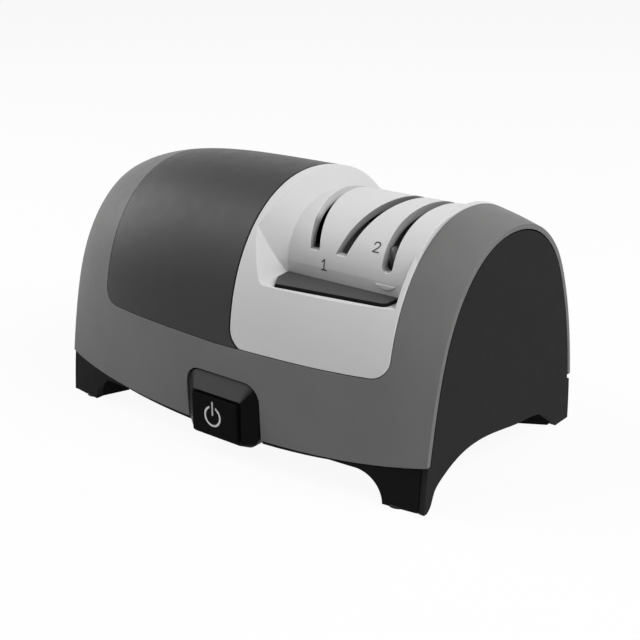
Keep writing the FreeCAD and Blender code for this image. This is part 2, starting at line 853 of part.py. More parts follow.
def standoff_places():
    return [Vector(x, y, 0) for x in (board_left + 5, board_right - 5)
            for y in (board_front + 4, board_back - 4)]


moulded("base_pan", base())


def end_panel(side):
    """Dark end cap: flush with the base at the feet, inside the shell's rim above them."""
    plane = side * half_length
    inward = Vector(-side * size.panel_thickness, 0, 0)
    upper = Part.Face(section(plane, size.panel_inset))
    lower = Part.Face(section(plane, size.base_inset))
    below = below_edge(size.base_gap, size.rear_gap)
    plate = upper.extrude(inward).fuse(lower.extrude(inward).common(below))
    ring = upper.extrude(Vector(-side * (size.panel_thickness + size.panel_flange), 0, 0))
    inside = Part.Face(section(plane, size.panel_inset + size.wall - 0.4))
    ring = ring.cut(inside.extrude(inward * 6)).cut(
        box((-FAR, -FAR, -FAR), (FAR, FAR, size.end_floor + 16)))
    plate = plate.fuse(ring).cut(side_arch())
    return plate.cut(box((-FAR, -FAR, -FAR), (FAR, FAR, 0)))


moulded("end_panel_left", end_panel(-1))
moulded("end_panel_right", end_panel(1))


def group(name, solids):
    """Identical small pieces that share one node."""
    return moulded(name, Part.Compound(solids))


group("rubber_feet", [Part.makeCylinder(float(size.pad_radius),
                                       float(size.foot_lift + size.pad_seat), place)
                      for place in pad_places()])


# Power button: a bevelled bezel in the shell's cut-out, with a key that slides in it.
def bezel():
    middle = (size.bezel_top + size.bezel_bottom) / 2
    face_low = size.button_height - size.key_height / 2 - 1.2
    face_high = size.button_height + size.key_height / 2 + 1.2
    start = -size.bezel_front + 4.6
    outer_wire = rounded_plan(size.bezel_width, size.bezel_bottom, size.bezel_top,
                              size.bezel_corner, start)
    face_wire = rounded_plan(size.key_width + 2.4, face_low, face_high, 1.5, -size.bezel_front)
    bevel = Part.makeLoft([face_wire, outer_wire], True, True)
    block = tall_prism(outer_wire, -size.bezel_back - start)
    block = block.fuse(bevel)
    flange = rounded_plan(size.bezel_width + 8.0, 15.0, size.bezel_top + 4.0,
                          size.bezel_corner + 3.0, -64.0)
    block = block.fuse(tall_prism(flange, 1.6))
    grow = size.key_clearance
    hole = rounded_plan(size.key_width + 2 * grow,
                        size.button_height - size.key_height / 2 - grow,
                        size.button_height + size.key_height / 2 + grow, 1.2 + grow,
                        -size.bezel_front - 1)
    block = block.cut(tall_prism(hole, size.bezel_front + 1 - size.bezel_back - size.bezel_web))
    stem = Part.makeCylinder(float(size.stem_radius + size.running_clearance), FAR,
                             Vector(button_centre, -FAR, size.button_height), Vector(0, 1, 0))
    return block.cut(stem)


moulded("button_bezel", bezel())
facing = FreeCAD.Rotation(Vector(0, 0, 1), 90)
key_front = -size.body_depth / 2
spring_front = key_front + size.key_depth
spring_back = -size.bezel_back - size.bezel_web


def key():
    plan = rounded_plan(size.key_width, size.button_height - size.key_height / 2,
                        size.button_height + size.key_height / 2, 1.2, key_front)
    cap = tall_prism(plan, size.key_depth)
    front = [e for e in cap.Edges if abs(e.BoundBox.YMax - key_front) < 1e-4]
    cap = cap.makeFillet(0.5, front)
    stem = Part.makeCylinder(float(size.stem_radius), float(-switch_gap - key_front - 1),
                             Vector(button_centre, key_front + 1, size.button_height),
                             Vector(0, 1, 0))
    return cap.fuse(stem)


switch_gap = 57.5
moulded("power_button", key())


def arc_along(start, end, heading):
    """Arc from start to end that leaves start in the direction of heading."""
    chord = end - start
    straight = Vector(chord).normalize()
    side = (heading - straight * heading.dot(straight)).normalize()
    turn = heading.getAngle(straight)
    return Part.Arc(start, start + chord / 2 + side * (chord.Length / 2 * math.tan(turn / 2)), end)


def two_arcs(start, end, heading, arrival):
    """Two arcs with one direction where they meet, between two points with given directions."""
    way = end - start
    both = heading + arrival
    spare = 2 * (1 - heading.dot(arrival))
    reach = (math.sqrt(way.dot(both) ** 2 + spare * way.dot(way)) - way.dot(both)) / spare
    meeting = (start + end + (heading - arrival) * reach) / 2
    shared = ((end - arrival * reach) - (start + heading * reach)).normalize()
    return [arc_along(start, meeting, heading), arc_along(meeting, end, shared)]


def coil(radius, wire, length, turns, start, direction):
    """Helical wire of a compression spring, between two places along direction."""
    radius, rise = float(radius), float(length - wire)
    pitch = rise / turns
    places = []
    for quarter in range(round(turns * 4) + 1):
        angle = math.pi / 2 * quarter
        place = Vector(radius * math.cos(angle), radius * math.sin(angle), pitch * quarter / 4)
        heading = Vector(-radius * math.sin(angle), radius * math.cos(angle), pitch / 2 / math.pi)
        places.append((place, heading.normalize()))
    arcs = []
    for (place, heading), (following, arrival) in zip(places, places[1:]):
        arcs += two_arcs(place, following, heading, arrival)
    path = Part.Wire([arc.toShape() for arc in arcs])
    profile = Part.Wire(Part.makeCircle(float(wire / 2), places[0][0], places[0][1]))
    solid = path.makePipeShell([profile], True)
    solid.Placement = FreeCAD.Placement(
        start + direction * float(wire / 2), FreeCAD.Rotation(Vector(0, 0, 1), direction))
    return solid


moulded("button_spring", coil(size.stem_radius + 1.6, 0.7, spring_back - spring_front - 0.3, 2.0,
                              Vector(button_centre, spring_front + 0.15, size.button_height),
                              Vector(0, 1, 0)))

Piece("switch_plunger", (button_centre, -switch_gap + 0.2, size.button_height), facing).turned([
    (0.0, 0.0), (0.0, size.plunger_radius), (8.0, size.plunger_radius), (8.0, 0.0)])
Piece("switch_body", (button_centre, 0.0, 0.0)).pad(
    "XZ_Plane", -switch_back, switch_back - switch_front,
    [(-9.0, size.button_height - 7.0), (9.0, size.button_height - 7.0),
     (9.0, size.button_height + 7.0), (-9.0, size.button_height + 7.0)]).pocket(
    "XZ_Plane", -switch_front - 9.0, 9.0, (),
    [((0.0, size.button_height), size.plunger_radius + size.running_clearance)])

# Drive line: everything here is turned about the wheels' axis.


def on_axis(name, x):
    return Piece(name, (x, axis_y, axis_height))


bush_radius = 5.0
can_wall = size.can_wall
can_radius = size.motor_radius
can_length = size.motor_length
can_bore = can_radius - can_wall
rotor_radius = can_radius - 6.2
bore = size.motor_shaft_radius + size.running_clearance
on_axis("motor_can", motor_left).turned([
    (0.0, can_bore), (0.0, can_radius), (can_length, can_radius), (can_length, bush_radius),
    (can_length - can_wall, bush_radius), (can_length - can_wall, can_bore)])
on_axis("motor_end_cap", motor_left).turned([
    (-3.0, bush_radius), (-3.0, can_radius), (0.0, can_radius), (0.0, can_bore),
    (4.0, can_bore), (4.0, can_bore - 2.0), (0.0, can_bore - 2.0), (0.0, bush_radius)])
on_axis("motor_bush_front", motor_right).turned([
    (-can_wall - 2.0, bore), (-can_wall - 2.0, bush_radius + 1.5), (-can_wall, bush_radius + 1.5),
    (-can_wall, bush_radius), (1.5, bush_radius), (1.5, bore)])
on_axis("motor_bush_rear", motor_left).turned([
    (-4.5, bore), (-4.5, bush_radius), (0.0, bush_radius), (0.0, bush_radius + 1.5),
    (2.0, bush_radius + 1.5), (2.0, bore)])
on_axis("motor_shaft", motor_left).turned([
    (-14.0, 0.0), (-14.0, size.motor_shaft_radius), (can_length + 13.0, size.motor_shaft_radius),
    (can_length + 13.0, 0.0)])
on_axis("rotor_core", motor_left).turned([
    (18.0, size.motor_shaft_radius), (18.0, rotor_radius), (can_length - 12.0, rotor_radius),
    (can_length - 12.0, size.motor_shaft_radius)])
on_axis("commutator", motor_left).turned([
    (5.0, size.motor_shaft_radius), (5.0, 8.0), (12.0, 8.0), (12.0, size.motor_shaft_radius)])
group("rotor_windings", [ring_solid(motor_left + x, 5.4, size.motor_shaft_radius + 3, can_radius - 8)
                         for x in (12.3, can_length - 11.7)])
group("motor_magnets", [ring_solid(motor_left + 16.0, can_length - 26.0, rotor_radius + 0.8,
                                   can_bore - 0.1, 140.0, start) for start in (20.0, 200.0)])


def brushes():
    solids = []
    for side in (-1, 1):
        low, high = sorted((side * 8.1, side * 20.0))
        solids.append(box((motor_left + 6.5, axis_y + low, axis_height - 2.5),
                          (motor_left + 10.5, axis_y + high, axis_height + 2.5)))
        low, high = sorted((side * 20.0, side * (can_bore - 2.5)))
        solids.append(box((motor_left + 0.0, axis_y + low, axis_height - 3.5),
                          (motor_left + 12.0, axis_y + high, axis_height + 3.5)))
    return [solids[0].fuse(solids[1]), solids[2].fuse(solids[3])]


group("brush_holders", brushes())


# Cooling fan behind the motor: a hub with leaning blades.
def fan():
    hub = ring_solid(motor_left - 13.0, 7.0, size.motor_shaft_radius, 6.0)
    place = Vector(motor_left - 9.5, axis_y, axis_height)
    for step in range(8):
        blade = Part.makeBox(7.0, 1.0, float(size.fan_radius - 5.5), Vector(-3.5, -0.5, 5.5))
        blade.rotate(Vector(0, 0, 0), Vector(0, 0, 1), 32)
        blade.translate(place)
        blade.rotate(place, Vector(1, 0, 0), 45 * step)
        hub = hub.fuse(blade)
    return hub


moulded("cooling_fan", fan())
shaft_start = motor_right + 14.0
shaft_end = head_left + 62.0
on_axis("shaft_coupling", motor_right).turned([
    (5.0, size.motor_shaft_radius), (5.0, 7.5), (24.0, 7.5), (24.0, size.shaft_radius),
    (14.0, size.shaft_radius), (14.0, size.motor_shaft_radius)])
on_axis("wheel_shaft", shaft_start).turned([
    (0.0, 0.0), (0.0, size.shaft_radius), (shaft_end - shaft_start, size.shaft_radius),
    (shaft_end - shaft_start, 0.0)])
bearing_left = frame_left + 1.0
bearing_right = head_left + 52.5
for name, x in (("wheel_bearing_left", bearing_left), ("wheel_bearing_right", bearing_right)):
    on_axis(name, x).turned([
        (0.0, size.shaft_radius + size.running_clearance), (0.0, size.bearing_radius),
        (size.bearing_width, size.bearing_radius),
        (size.bearing_width, size.shaft_radius + size.running_clearance)])

# Abrasive wheels: dished discs whose faces lean like the slots they reach into.
wheel_bore = size.shaft_radius + size.running_clearance
for name, hub, lean, side in (("wheel_left", left_hub, size.slot_lean_left, 1.0),
                              ("wheel_right", right_hub, size.slot_lean_right, -1.0)):
    rim = lean * rim_rise
    on_axis(name, hub).turned([
        (0.0, wheel_bore), (0.0, size.hub_radius), (rim, size.wheel_radius),
        (rim + side * disc_thickness, size.wheel_radius), (side * disc_thickness, size.hub_radius),
        (side * (disc_thickness + hub_boss), size.hub_radius),
        (side * (disc_thickness + hub_boss), wheel_bore)])
spring_start = left_hub + disc_thickness + hub_boss
spring_length = right_hub - disc_thickness - hub_boss - spring_start
moulded("wheel_spring", coil(6.0, 0.7, spring_length - 0.3, 1.5,
                             Vector(spring_start + 0.15, axis_y, axis_height),
                             Vector(1, 0, 0)))
group("retaining_rings", [ring_solid(left_hub - 1.3, 1.2, size.shaft_radius, 6.5),
                          ring_solid(right_hub + 0.1, 1.2, size.shaft_radius, 6.5)])

# Frame of the wheels: a plate with two uprights that hold the bearings.
plate_top = size.rest_pad + 3.0
front = axis_y - 20.0
back = axis_y + 20.0
frame = Piece("wheel_frame").pad("XY_Plane", size.rest_pad, 3.0, [
    (frame_left, front), (frame_right, front), (frame_right, back), (frame_left, back)])
for x in (bearing_left, bearing_right):
    frame.pad("YZ_Plane", x, size.bearing_width, [
        (front + 2.0, plate_top - 1.0), (back - 2.0, plate_top - 1.0),
        (axis_y + 12.5, axis_height), (axis_y + 7.0, axis_height + 12.5),
        (axis_y - 7.0, axis_height + 12.5), (axis_y - 12.5, axis_height)])
frame.pocket("YZ_Plane", frame_left - 5.0, 90.0, (),
             [((axis_y, axis_height), size.bearing_radius)])

# Motor cradle: a plate with two saddles, and a strap over each.
cradle = Piece("motor_cradle").pad("XY_Plane", size.rest_pad, 3.0, [
    (cradle_left, front), (cradle_right, front), (cradle_right, back), (cradle_left, back)])
saddle = can_radius + 5.0
for x in (cradle_left, cradle_right - 5.0):
    cradle.pad("YZ_Plane", x, 5.0, [
        (front + 2.0, plate_top - 1.0), (back - 2.0, plate_top - 1.0),
        (axis_y + saddle, axis_height - 14.0), (axis_y + saddle, axis_height),
        (axis_y - saddle, axis_height), (axis_y - saddle, axis_height - 14.0)])
cradle.pocket("YZ_Plane", cradle_left - 1.0, can_length, (),
              [((axis_y, axis_height), can_radius + 0.1)])
straps = []
for x in (cradle_left, cradle_right - 5.0):
    band = ring_solid(x, 5.0, can_radius + 0.1, can_radius + 1.7)
    ears = box((x, axis_y - saddle, axis_height), (x + 5.0, axis_y + saddle,
                                                           axis_height + 1.6))
    ears = ears.cut(ring_solid(x, 5.0, 0.0, can_radius + 0.1))
    over = box((x, -FAR, axis_height), (x + 5.0, FAR, FAR))
    straps.append(band.common(over).fuse(ears))
group("motor_straps", straps)

# Stones: two fixed slabs that cross below the third slot, in a post on the frame.
def stone(side, y):
    slab = Part.makeBox(3.0, 4.0, 22.0, Vector(-1.5, 0, -11.0))
    slab.rotate(Vector(0, 0, 0), Vector(0, 1, 0), side * 20.0)
    slab.translate(Vector(stone_x + side * 1.2, y, stone_top - 9.0))
    return slab


moulded("stone_left", stone(-1, stone_front + 1.5))
moulded("stone_right", stone(1, stone_front + 5.8))


def stone_post():
    top = stone_top - 10.0
    post = box((stone_x - 5.5, stone_front, plate_top),
               (stone_x + 5.5, stone_front + 11.5, top))
    for side, y in ((-1, stone_front + 1.3), (1, stone_front + 5.6)):
        pocket = Part.makeBox(3.2, 4.4, 40.0, Vector(-1.6, 0, -11.1))
        pocket.rotate(Vector(0, 0, 0), Vector(0, 1, 0), side * 20.0)
        pocket.translate(Vector(stone_x + side * 1.2, y, stone_top - 9.0))
        post = post.cut(pocket)
    foot = box((stone_x - 5.5, stone_front, plate_top), (stone_x + 5.5, front + 12.0,
                                                        plate_top + 4.0))
    return post.fuse(foot)


moulded("stone_holder", stone_post())

# Electrics: a board on standoffs, and the cord's entry in the rear wall.
board_middle = (board_left + board_right) / 2
Piece("circuit_board").pad("XY_Plane", board_height, 1.6, [
    (board_left, board_front), (board_right, board_front), (board_right, board_back),
    (board_left, board_back)])
Piece("smoothing_capacitor", (board_left + 12.0, board_front + 12.0, board_height + 1.6),
      FreeCAD.Rotation(Vector(0, 1, 0), -90)).turned([
          (0.0, 0.0), (0.0, 7.0), (24.0, 7.0), (24.0, 0.0)])
Piece("bridge_rectifier").pad("XY_Plane", board_height + 1.6, 9.0, [
    (board_middle, board_front + 8.0), (board_middle + 15.0, board_front + 8.0),
    (board_middle + 15.0, board_front + 13.0), (board_middle, board_front + 13.0)])
gland_y = size.body_depth / 2 - 1.9
Piece("cord_gland", (gland_x, gland_y, size.gland_height), facing).turned([
    (-9.0, 2.8), (-9.0, size.gland_radius + 2.5), (-6.6, size.gland_radius + 2.5),
    (-6.6, size.gland_radius), (0.0, size.gland_radius), (0.0, size.gland_radius + 2.0),
    (1.6, size.gland_radius + 1.2), (1.6, 2.8)])


# Screws
def screw(place, shank, length, head, head_height, up=1):
    """Pan head at place with its shank along up."""
    solid = Part.makeCylinder(float(head), head_height, place, Vector(0, 0, -up))
    return solid.fuse(Part.makeCylinder(float(shank), float(length), place, Vector(0, 0, up)))


case_screws = [screw(place + Vector(0, 0, size.end_floor), size.screw_radius - 0.1,
                     size.wall + 12.0, size.screw_head_radius, 2.2) for place in post_places()]
group("case_screws", case_screws)

doc.recompute()
for item in doc.Objects:
    if "Invalid" in item.State or "Error" in item.State:
        raise RuntimeError("%s failed: %s" % (item.Name, item.State))
for feature in subparts:
    if feature.Shape.isNull() or not feature.Shape.isValid():
        raise RuntimeError("%s has no valid shape" % feature.Label)
    solids = feature.Shape.Solids
    print(feature.Label, len(solids), "solids", round(feature.Shape.Volume), "mm3")

os.makedirs("parts", exist_ok=True)
for feature in subparts:
    feature.Shape.exportStep("parts/%s.step" % feature.Label)
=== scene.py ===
"""Looks of the electric knife sharpener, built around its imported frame. Lengths are in metres."""
import json
import math

import bpy
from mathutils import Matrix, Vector


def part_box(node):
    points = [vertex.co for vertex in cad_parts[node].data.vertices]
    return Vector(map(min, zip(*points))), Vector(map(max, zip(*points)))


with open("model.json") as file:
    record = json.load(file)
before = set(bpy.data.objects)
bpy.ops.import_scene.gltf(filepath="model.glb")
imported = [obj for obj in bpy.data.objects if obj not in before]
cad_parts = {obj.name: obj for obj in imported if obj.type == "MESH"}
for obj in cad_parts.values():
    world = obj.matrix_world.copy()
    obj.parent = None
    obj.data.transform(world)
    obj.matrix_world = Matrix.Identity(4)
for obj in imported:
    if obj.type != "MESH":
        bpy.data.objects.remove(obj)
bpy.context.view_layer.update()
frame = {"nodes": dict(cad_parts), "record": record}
NODES = frame["nodes"]
MM = 0.001

# Camera, recovered from the photograph's outline of the housing
CAMERA_AZIMUTH = 38.49
CAMERA_ELEVATION = 19.81
CAMERA_LENS = 67.04
CAMERA_SENSOR = 36.0
CAMERA_DISTANCE = 620.2 * MM
CAMERA_TARGET = Vector((3.52, 6.75, 47.37)) * MM

# Light in the room, how white the floor looks by eye, its own colour and its half width in metres
AMBIENT = 0.05
FLOOR_WHITE = 0.93
FLOOR_COLOUR = 0.8
FLOOR_REACH = 6.0

# Lamps: name, azimuth and elevation in degrees, distance and width in metres, watts. They aim
# at a point above the middle of the floor.
LAMP_AIM = Vector((0, 0, 0.06))
LAMPS = (
    ("left_high_light", -52.0, 52.0, 1.5, 0.9, 8.3),
    ("left_low_light", -75.0, 25.0, 1.5, 0.9, 10.0),
    ("right_light", 95.0, 45.0, 1.5, 0.9, 18.5),
    ("back_light", 170.0, 40.0, 1.5, 0.5, 3.0),
    ("front_light", 60.0, 25.0, 1.6, 0.9, 2.2),
)

# Cosine between the rounded and the flat normal at which an edge begins, and the cosines
# between which a surface goes from turned away to facing a direction
EDGE_START = 0.995
FACING_COSINES = (0.35, 0.6)

# Soft edge of a printed stroke to either side, in millimetres
INK_SOFTNESS = 0.1

# Power sign on the key, in millimetres: its middle from the middle of the key's box, the ring's
# radius, the stroke, half the ring's gap, and where the bar starts and ends above the middle.
# The bar's ink is a little thinner than the ring's.
SIGN_MIDDLE = Vector((-1.05, 0.0, 0.4))
SIGN_RADIUS = 4.8
SIGN_STROKE = 1.05
SIGN_GAP = 1.9
SIGN_BAR = (0.9, 7.2)
SIGN_BAR_INK = 0.75

# Stage numbers on the drum's front: where their middles are in X and Z, how much of the
# strokes' height the slope takes, and the strokes themselves, all in millimetres
NUMBER_STROKE = 0.75
NUMBERS = (
    (Vector((45.4, 0.0, 97.4)), 0.98,
     (((-1.3, 1.3), (0.0, 2.4), (0.0, -2.4)), ((-1.3, -2.4), (1.3, -2.4)))),
    (Vector((71.7, 0.0, 109.6)), 0.82,
     (((-1.5, 1.1), (-1.2, 2.0), (0.0, 2.4), (1.2, 2.0), (1.5, 1.1), (1.0, 0.0), (-1.5, -2.4),
       (1.6, -2.4)),)),
)

# Drum of the head, in millimetres: its middle, its half depth and height, and the span
# along X that holds the slots. The walls in the slots get a painted shade that deepens with
# depth: the painted shade runs between two shares of the drum's section, and from one factor to the
# other.
DRUM_MIDDLE = Vector((0.0, 0.9, 89.0))
DRUM_HALF_DEPTH = 44.0
DRUM_HEIGHT = 34.4
SLOT_SPAN = (33.0, 87.0)
SLOT_SPAN_SOFTNESS = 1.0
SLOT_DEPTHS = (0.82, 1.04)
SLOT_SHADES = (0.16, 0.5)

scene = bpy.context.scene
scene.view_settings.view_transform = "Standard"


def heading(azimuth, elevation):
    """Unit vector towards a place seen at that azimuth and elevation from the object."""
    a, e = math.radians(azimuth), math.radians(elevation)
    return Vector((math.sin(a) * math.cos(e), -math.cos(a) * math.cos(e), math.sin(e)))


def make_camera():
    """The photograph's view of the object."""
    camera = bpy.data.objects.new("camera", bpy.data.cameras.new("camera"))
    scene.collection.objects.link(camera)
    back = heading(CAMERA_AZIMUTH, CAMERA_ELEVATION)
    camera.data.sensor_width = CAMERA_SENSOR
    camera.data.lens = CAMERA_LENS
    camera.location = CAMERA_TARGET + back * CAMERA_DISTANCE
    camera.rotation_euler = (-back).to_track_quat("-Z", "Y").to_euler()
    scene.camera = camera


# Node trees

def fill(tree, socket, value):
    """Links the value into the socket, or sets it there when it is a plain one."""
    if isinstance(value, bpy.types.NodeSocket):
        tree.links.new(value, socket)
    else:
        socket.default_value = value


def add(tree, kind, **settings):
    """A new node with its properties set and its inputs filled or linked."""
    made = tree.nodes.new(kind)
    for key, value in settings.items():
        if hasattr(made, key):
            setattr(made, key, value)
            continue
        name = key.replace("_", " ")
        socket = next((s for s in made.inputs if s.name.lower() == name.lower()), None)
        if socket is None:
            raise KeyError("%s has no input %s" % (kind, name))
        fill(tree, socket, value)
    return made


def math_node(tree, operation, *values):
    """The result of an operation on numbers."""
    made = tree.nodes.new("ShaderNodeMath")
    made.operation = operation
    for socket, value in zip(made.inputs, values):
        fill(tree, socket, value)
    return made.outputs[0]


def vector_node(tree, operation, *values):
    """The result of a vector operation: a number for a length or a dot product."""
    made = tree.nodes.new("ShaderNodeVectorMath")
    made.operation = operation
    for socket, value in zip(made.inputs, values):
        fill(tree, socket, value)
    scalar = operation in ("LENGTH", "DOT_PRODUCT")
    return made.outputs["Value" if scalar else "Vector"]


def noise(tree, place, scale, detail=2.0, roughness=0.5):
    """Cloudy noise from 0 to 1."""
    made = add(tree, "ShaderNodeTexNoise", Vector=place, Scale=scale, Detail=detail,
               Roughness=roughness)
    return made.outputs["Fac"]


def spread(tree, value, low, high, to_low, to_high):
    """Maps value from one range to another, held at its ends."""
    made = tree.nodes.new("ShaderNodeMapRange")
    tree.links.new(value, made.inputs["Value"])
    for name, number in zip(("From Min", "From Max", "To Min", "To Max"),
                            (low, high, to_low, to_high)):
        made.inputs[name].default_value = number
    return made.outputs["Result"]


def scaled(tree, vector, amount):
    """A plain vector or colour, times a number that varies over the surface."""
    made = tree.nodes.new("ShaderNodeVectorMath")
    made.operation = "SCALE"
    made.inputs[0].default_value = vector
    tree.links.new(amount, made.inputs["Scale"])
    return made.outputs["Vector"]


def blend_colour(tree, factor, first, second):
    """The first colour, going over to the second as the factor rises to 1."""
    made = tree.nodes.new("ShaderNodeMix")
    made.data_type = "RGBA"
    tree.links.new(factor, made.inputs["Factor"])
    sockets = [s for s in made.inputs if s.type == "RGBA"]
    for socket, value in zip(sockets, (first, second)):
        plain = not isinstance(value, bpy.types.NodeSocket)
        fill(tree, socket, (*value, 1.0) if plain else value)
    return next(s for s in made.outputs if s.type == "RGBA")


def new_material(name):
    """A material with one shader: the material, its tree and the shader."""
    made = bpy.data.materials.new(name)
    made.use_nodes = True
    tree = made.node_tree
    tree.nodes.clear()
    output = tree.nodes.new("ShaderNodeOutputMaterial")
    shader = tree.nodes.new("ShaderNodeBsdfPrincipled")
    tree.links.new(shader.outputs["BSDF"], output.inputs["Surface"])
    return made, tree, shader


def edge_mask(tree, rounded, reach):
    """1 along sharp edges and 0 on the open surface."""
    flat = tree.nodes.new("ShaderNodeNewGeometry").outputs["Normal"]
    turn = vector_node(tree, "DOT_PRODUCT", rounded, flat)
    return spread(tree, turn, EDGE_START, EDGE_START - reach, 0.0, 1.0)


def facing(tree, direction):
    """1 where the surface faces that way and 0 elsewhere."""
    flat = tree.nodes.new("ShaderNodeNewGeometry").outputs["Normal"]
    turn = vector_node(tree, "DOT_PRODUCT", flat, direction)
    return spread(tree, turn, *FACING_COSINES, 0.0, 1.0)


def inked(tree, distance, stroke):
    """1 within half a stroke's width of its line, with a thin soft edge."""
    half = stroke / 2
    return spread(tree, distance, half - INK_SOFTNESS, half + INK_SOFTNESS, 1.0, 0.0)


def line_distance(tree, place, start, end):
    """Distance from a straight stroke."""
    run = end - start
    offset = vector_node(tree, "SUBTRACT", place, start)
    along = vector_node(tree, "DOT_PRODUCT", offset, run / run.length_squared)
    share = spread(tree, along, 0.0, 1.0, 0.0, 1.0)
    beside = vector_node(tree, "SUBTRACT", offset, scaled(tree, run, share))
    return vector_node(tree, "LENGTH", beside)


def flat_place(tree, middle, rise=1.0):
    """X and Z in millimetres from the middle of a print, Z stretched along the slope."""
    place = tree.nodes.new("ShaderNodeTexCoord").outputs["Object"]
    in_mm = vector_node(tree, "MULTIPLY", place, Vector((1 / MM, 0.0, 1 / MM / rise)))
    return vector_node(tree, "SUBTRACT", in_mm, Vector((middle.x, 0.0, middle.z / rise)))


def stage_numbers(tree):
    """Ink of the numbers beside the slots."""
    ink = None
    for middle, rise, lines in NUMBERS:
        place = flat_place(tree, middle, rise)
        for line in lines:
            for (x0, z0), (x1, z1) in zip(line, line[1:]):
                distance = line_distance(tree, place, Vector((x0, 0, z0)), Vector((x1, 0, z1)))
                stroke = inked(tree, distance, NUMBER_STROKE)
                ink = stroke if ink is None else math_node(tree, "MAXIMUM", ink, stroke)
    return math_node(tree, "MULTIPLY", ink, facing(tree, Vector((0, -1, 0))))


def painted_slot_shade(tree):
    """Painted shade: 1 on the open surface, less on the slots' walls and least down in them."""
    place = tree.nodes.new("ShaderNodeTexCoord").outputs["Object"]
    share_of_drum = Vector((0, 1 / (DRUM_HALF_DEPTH * MM), 1 / (DRUM_HEIGHT * MM)))
    from_axis = vector_node(tree, "SUBTRACT", place, DRUM_MIDDLE * MM)
    in_section = vector_node(tree, "MULTIPLY", from_axis, share_of_drum)
    wall = spread(tree, vector_node(tree, "LENGTH", in_section), *SLOT_DEPTHS, *SLOT_SHADES)
    x = vector_node(tree, "DOT_PRODUCT", place, Vector((1 / MM, 0, 0)))
    start, end = SLOT_SPAN
    within = math_node(tree, "MULTIPLY", spread(tree, x, start - SLOT_SPAN_SOFTNESS, start, 0, 1),
                       spread(tree, x, end, end + SLOT_SPAN_SOFTNESS, 1, 0))
    sideways = math_node(tree, "MAXIMUM", facing(tree, Vector((1, 0, 0))),
                         facing(tree, Vector((-1, 0, 0))))
    share = math_node(tree, "MULTIPLY", within, sideways)
    open_part = math_node(tree, "SUBTRACT", 1.0, share)
    return math_node(tree, "ADD", open_part, math_node(tree, "MULTIPLY", share, wall))


def power_sign(tree):
    """Ink of the generic power sign: an open ring with an upright bar."""
    low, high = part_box("power_button")
    middle = (Vector(low) + Vector(high)) / 2 / MM + SIGN_MIDDLE
    place = flat_place(tree, middle)
    from_ring = math_node(tree, "ABSOLUTE", math_node(
        tree, "SUBTRACT", vector_node(tree, "LENGTH", place), SIGN_RADIUS))
    ring = inked(tree, from_ring, SIGN_STROKE)
    top, far = Vector((0, 0, 0)), Vector((0, 0, 3 * SIGN_RADIUS))
    gap = inked(tree, line_distance(tree, place, top, far), 2 * SIGN_GAP)
    ring = math_node(tree, "MULTIPLY", ring, math_node(tree, "SUBTRACT", 1.0, gap))
    ends = [Vector((0, 0, z)) for z in SIGN_BAR]
    bar = math_node(tree, "MULTIPLY",
                    inked(tree, line_distance(tree, place, *ends), SIGN_STROKE), SIGN_BAR_INK)
    both = math_node(tree, "MAXIMUM", ring, bar)
    return math_node(tree, "MULTIPLY", both, facing(tree, Vector((0, -1, 0))))


def plastic(name, colour, roughness, specular=0.5, grain=0.25, grain_scale=5200.0, bevel=0.35,
            wear_and_edge_highlight=0.35, mottle=0.05, ink=None, ink_colour=(0.0, 0.0, 0.0), painted_light_by_facing=None,
            shadow=None):
    """Moulded plastic: a fine spark-eroded grain, uneven gloss, and lighter edges that are partly
    rubbed wear and partly a painted highlight.

    With the facing factor, the colour is that of faces that look up, and the factor darkens
    all the others: a painted light and shade by facing. Ink and shadow are functions of the
    tree that give where it is printed and how much painted shade it gets.
    """
    made, tree, shader = new_material(name)
    place = tree.nodes.new("ShaderNodeTexCoord").outputs["Object"]
    rounded = add(tree, "ShaderNodeBevel", samples=6, Radius=bevel * MM).outputs["Normal"]
    fine = noise(tree, place, grain_scale, 3.0, 0.6)
    cloud = noise(tree, place, 26.0, 4.0, 0.55)
    smudge = noise(tree, place, 140.0, 5.0, 0.65)
    edges = edge_mask(tree, rounded, 0.25)
    # Lighter edges: partly rubbed wear, partly a painted highlight where light catches the rounded
    # edges.
    rubbed_and_highlit_edges = math_node(tree, "MULTIPLY", edges, spread(tree, smudge, 0.35, 0.65, 0.5, 1.0))
    level = math_node(tree, "ADD", spread(tree, cloud, 0.3, 0.7, 1 - mottle, 1 + mottle),
                      math_node(tree, "MULTIPLY", rubbed_and_highlit_edges, wear_and_edge_highlight))
    # Painted light and shade: faces that look up keep the colour, all others are painted darker.
    if painted_light_by_facing is not None:
        up = facing(tree, Vector((0, 0, 1)))
        level = math_node(tree, "MULTIPLY", level, spread(tree, up, 0.0, 1.0, painted_light_by_facing, 1.0))
    # Painted shade: the colour is darkened where the shadow function says, such as down the slots.
    if shadow is not None:
        level = math_node(tree, "MULTIPLY", level, shadow(tree))
    surface = scaled(tree, colour, level)
    if ink is not None:
        surface = blend_colour(tree, ink(tree), surface, ink_colour)
    tree.links.new(surface, shader.inputs["Base Color"])
    gloss = math_node(tree, "ADD", spread(tree, smudge, 0.3, 0.7, roughness - 0.05,
                                          roughness + 0.05),
                      spread(tree, fine, 0.3, 0.7, -0.03, 0.03))
    tree.links.new(gloss, shader.inputs["Roughness"])
    bump = add(tree, "ShaderNodeBump", Strength=grain, Distance=0.06 * MM, Height=fine,
               Normal=rounded)
    tree.links.new(bump.outputs["Normal"], shader.inputs["Normal"])
    shader.inputs["Specular IOR Level"].default_value = specular
    return made


